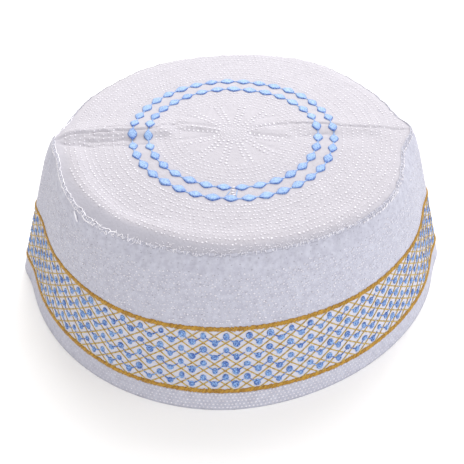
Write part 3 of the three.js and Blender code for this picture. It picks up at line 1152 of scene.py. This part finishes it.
# Copies of one pattern piece, laid along the seam
def copiesAtSeam(name, master, share, reach, size, lift, material):
    point, up = seamFrames(share, reach)
    ahead = seamFrames(share + seam["aheadShare"], reach)[0] - point
    along = unit(ahead - up * dot(ahead, up))
    copiesAt(name, master, (point, along, np.cross(up, along), up), size, lift, material)


def makeSeamLip():
    share = np.arange(seam["lipSteps"]) / seam["lipSteps"]
    centre, up = seamFrames(share, np.full_like(share, 0.12))
    along = unit(np.roll(centre, -1, axis=0) - np.roll(centre, 1, axis=0))
    side = np.cross(up, along)
    wavy = 1 + 0.12 * ringWaves(share * fullTurn, (71, 103, 148, 211), 6)
    rows = []
    for bend in np.arange(10) / 10 * fullTurn:
        offset = math.cos(bend) * side * seam["lipWidth"] + math.sin(bend) * up * seam["lipRise"]
        rows.append(centre + offset * wavy[:, None])
    buildLoop("seam_lip", np.stack(rows), wallCotton)


def makeSeamStitches():
    way = np.linspace(-1, 1, 6)
    paths, ups, radii = [], [], []
    for start, stop, pitch, *ranges, radius in seam["stitches"]:
        share = strewn(start, stop, pitch, 0.4)
        middle, down, along = (dice.uniform(*ends, len(share))[:, None] for ends in ranges)
        reach = middle + way * down
        point, up = seamFrames(share[:, None] + way * along / wallGirth, reach)
        lift = 0.02 + overLip(reach) + 0.16 * (1 - way ** 2)
        paths.append(point + up * lift[..., None])
        ups.append(up)
        radii.append(np.full(reach.shape, radius))
    paths, ups, radii = (np.concatenate(rows) for rows in (paths, ups, radii))
    sweptTubes("seam_stitches", paths, ups, radii, 4, overlock)


def makeSeamBeads():
    parts = []
    for start, stop, pitch, *ranges in seam["beads"]:
        share = strewn(start, stop, pitch, 0.3)
        parts.append((share, *(dice.uniform(*ends, len(share)) for ends in ranges)))
    share, reach, size = (np.concatenate([part[k] for part in parts]) for k in range(3))
    lift = stitch["height"] / 2 * size + 0.04 + overLip(reach)
    copiesAtSeam("seam_beads", bead, share, reach, size, lift, sewing)


def makeSeamRuns(name, runs, material):
    paths, ups, radii = [], [], []
    for number, (start, stop, middle, waver, radius) in enumerate(runs):
        share = np.linspace(start, stop, 160)
        along = share * wallGirth
        reach = middle + softWaves(along, (4.3, 7.1, 11.9, 3.1), 20 + number) * waver * 1.6
        point, up = seamFrames(share, reach)
        paths.append(point + up * (0.1 + overLip(reach))[:, None])
        ups.append(up)
        radii.append(radius * (1 + 0.45 * softWaves(along, (2.9, 5.3, 8.7), 30 + number)))
    sweptTubes(name, paths, ups, radii, 5, material)


# Holes the needle made: dark grey beads sunk in the cloth, painted shadow
def makeNeedleHoles():
    shares, downs = [], []
    for down, pitch, stray in seam["holes"]:
        shares.append(strewn(0, 1, pitch, 0.3))
        downs.append(down + jitter(stray, len(shares[-1])))
    low = seam["lowHoles"]
    shares.append(dice.random(low["count"]))
    reachable = slantAt(shares[-1]) - low["above"] - low["from"]
    downs.append(low["from"] + reachable * dice.random(low["count"]))
    share, down = np.concatenate(shares), np.concatenate(downs)
    size = seam["holeSize"] + jitter(0.12, len(share))
    lift = (stitch["height"] / 2 - seam["holeSink"]) * size
    copiesAtSeam("needle_hole_shadows", fleck, share, down, size, lift, paintedShadowGrey)


# A loose end of thread on the left, below the seam
def makeLooseThread():
    way = np.linspace(0, 1, 14)
    share = 0.5895 + 0.0075 * way + 0.0004 * np.sin(way * 5)
    point, _, _, up = wallFrames(share, slantAt(share) - 1.9 - 3.4 * way)
    lift = 0.22 + 0.06 * np.sin(way * math.pi)
    sweptTubes("loose_thread", [point + up * lift[:, None]], [up], 0.45, 6, overlock, 0.6)


makeSeamLip()
makeSeamStitches()
makeSeamBeads()
makeSeamRuns("seam_strands", seam["strands"], overlock)
# painted shadow along the seam's crease
makeSeamRuns("seam_shadow_lines", seam["shadow_lines"], paintedShadowGrey)
makeNeedleHoles()
makeLooseThread()
print("seam made")


# Studio: pale floor and soft light from above, a little behind and to the right
studio = {
    "world": 0.85,
    "lamps": [
        {"name": "key", "place": (0.1, 0.56, 0.6), "size": 0.6, "power": 5.9, "colour": "#FFFFFF"},
        {"name": "fill", "place": (0.1, -1.2, 0.7), "size": 1.2, "power": 3.1, "colour": "#E8EFFF"},
        {"name": "side", "place": (1.1, -0.3, 0.45), "size": 0.9, "power": 4.0, "colour": "#F2F6FF"},
    ],
}


def makeStudio():
    startFresh()
    bpy.ops.mesh.primitive_plane_add(size=6)
    floor = bpy.context.object
    floor.name = "studio_floor"
    floor.data.materials.append(palePaper)
    for lamp in studio["lamps"]:
        data = bpy.data.lights.new(lamp["name"], "AREA")
        data.size = lamp["size"]
        data.energy = lamp["power"]
        data.color = linear(lamp["colour"])[:3]
        light = bpy.data.objects.new(lamp["name"], data)
        bpy.context.collection.objects.link(light)
        place = Vector(lamp["place"])
        light.location = place
        light.rotation_euler = (place - Vector((0, 0, 0.05))).to_track_quat("Z", "Y").to_euler()
    world = bpy.data.worlds.new("studio")
    world.use_nodes = True
    background = world.node_tree.nodes["Background"]
    background.inputs["Color"].default_value = linear("#FFFCF8")
    background.inputs["Strength"].default_value = studio["world"]
    bpy.context.scene.world = world
    bpy.context.scene.view_settings.view_transform = "Standard"


makeStudio()

print("all pieces made")
